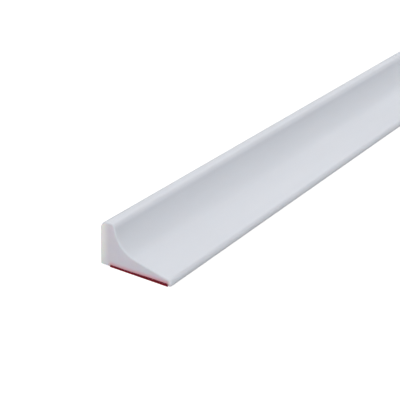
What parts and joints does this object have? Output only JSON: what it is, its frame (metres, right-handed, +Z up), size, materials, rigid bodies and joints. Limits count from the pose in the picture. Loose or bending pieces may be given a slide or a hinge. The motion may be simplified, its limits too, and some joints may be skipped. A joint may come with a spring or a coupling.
{
  "type": "door sweep",
  "caption": "Self-adhesive door sweep or threshold strip: a soft white extrusion with a concave cove face, upright rear wall and thin toe, on clear acrylic tape with a peel-off red liner.",
  "frame": {"origin": "middle of the footprint, on the underside of the release liner, which is the surface the strip lies on", "axes": "+X along the strip, +Y from the thin toe to the upright wall, +Z up"},
  "size_m": [0.6096, 0.0254, 0.0145],
  "materials": {
    "strip_plastic": "satin white flexible vinyl",
    "adhesive": "clear tacky acrylic, looking red from the liner under it",
    "tape_core": "clear soft acrylic, looking deep red from the liner under it",
    "liner_film": "glossy red polyethylene film"
  },
  "bodies": {
    "strip": {"extruded_profile": "strip_plastic", "upper_adhesive": "adhesive", "tape_core": "tape_core", "lower_adhesive": "adhesive"},
    "liner": {"release_liner": "liner_film"}
  },
  "joints": [
    {"name": "liner_peel", "type": "slide", "parent": "strip", "child": "liner", "axis": [-1, 0, 0], "range_m": [0, 0.62]}
  ]
}
